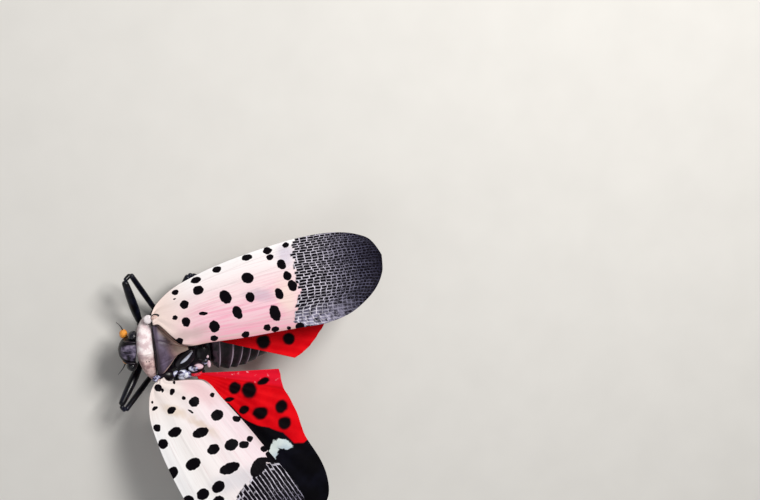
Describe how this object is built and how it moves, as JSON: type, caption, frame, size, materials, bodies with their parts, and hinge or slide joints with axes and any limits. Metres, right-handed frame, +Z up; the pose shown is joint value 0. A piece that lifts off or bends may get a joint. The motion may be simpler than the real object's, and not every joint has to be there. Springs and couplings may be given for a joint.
{
  "type": "spotted lanternfly",
  "caption": "Life-size still model of an adult spotted lanternfly on its feet, with the left wings spread and the right wings half closed.",
  "frame": {"origin": "the middle of the insect's outline seen from above, on the floor that its feet stand on", "axes": "+X from head to tail along the body, +Y to the insect's right side, +Z up"},
  "size_m": [0.0258, 0.0318, 0.0109],
  "materials": {
    "head": "dark purple-grey cuticle, faintly glossy",
    "eye": "glossy blue-black compound eye",
    "antenna": "orange, satin",
    "collar": "pale pinkish-grey cuticle, dull",
    "shield": "purple-brown cuticle with tan hind edges",
    "body": "purple-black cuticle with fine pale segment lines",
    "forewing": "cream-pink with black spots and a black, pale-netted tip",
    "hindwing": "vivid red with black spots, a white patch and a black tip",
    "leg": "glossy blue-black"
  },
  "bodies": {
    "root": {"head": "head", "rostrum": "body", "pronotum": "collar", "mesonotum": "shield", "thorax": "body", "abdomen": "body", "eye_right": "eye", "eye_left": "eye", "antenna_right": "antenna", "antenna_left": "antenna", "tegula_right": "collar", "tegula_left": "collar", "forewing_right": "forewing", "forewing_left": "forewing", "hindwing_right": "hindwing", "hindwing_left": "hindwing", "coxa_fore_right": "leg", "femur_fore_right": "leg", "tibia_fore_right": "leg", "tarsus_fore_right": "leg", "coxa_fore_left": "leg", "femur_fore_left": "leg", "tibia_fore_left": "leg", "tarsus_fore_left": "leg", "coxa_mid_right": "leg", "femur_mid_right": "leg", "tibia_mid_right": "leg", "tarsus_mid_right": "leg", "coxa_mid_left": "leg", "femur_mid_left": "leg", "tibia_mid_left": "leg", "tarsus_mid_left": "leg", "coxa_hind_right": "leg", "femur_hind_right": "leg", "tibia_hind_right": "leg", "tarsus_hind_right": "leg", "coxa_hind_left": "leg", "femur_hind_left": "leg", "tibia_hind_left": "leg", "tarsus_hind_left": "leg"}
  },
  "joints": []
}
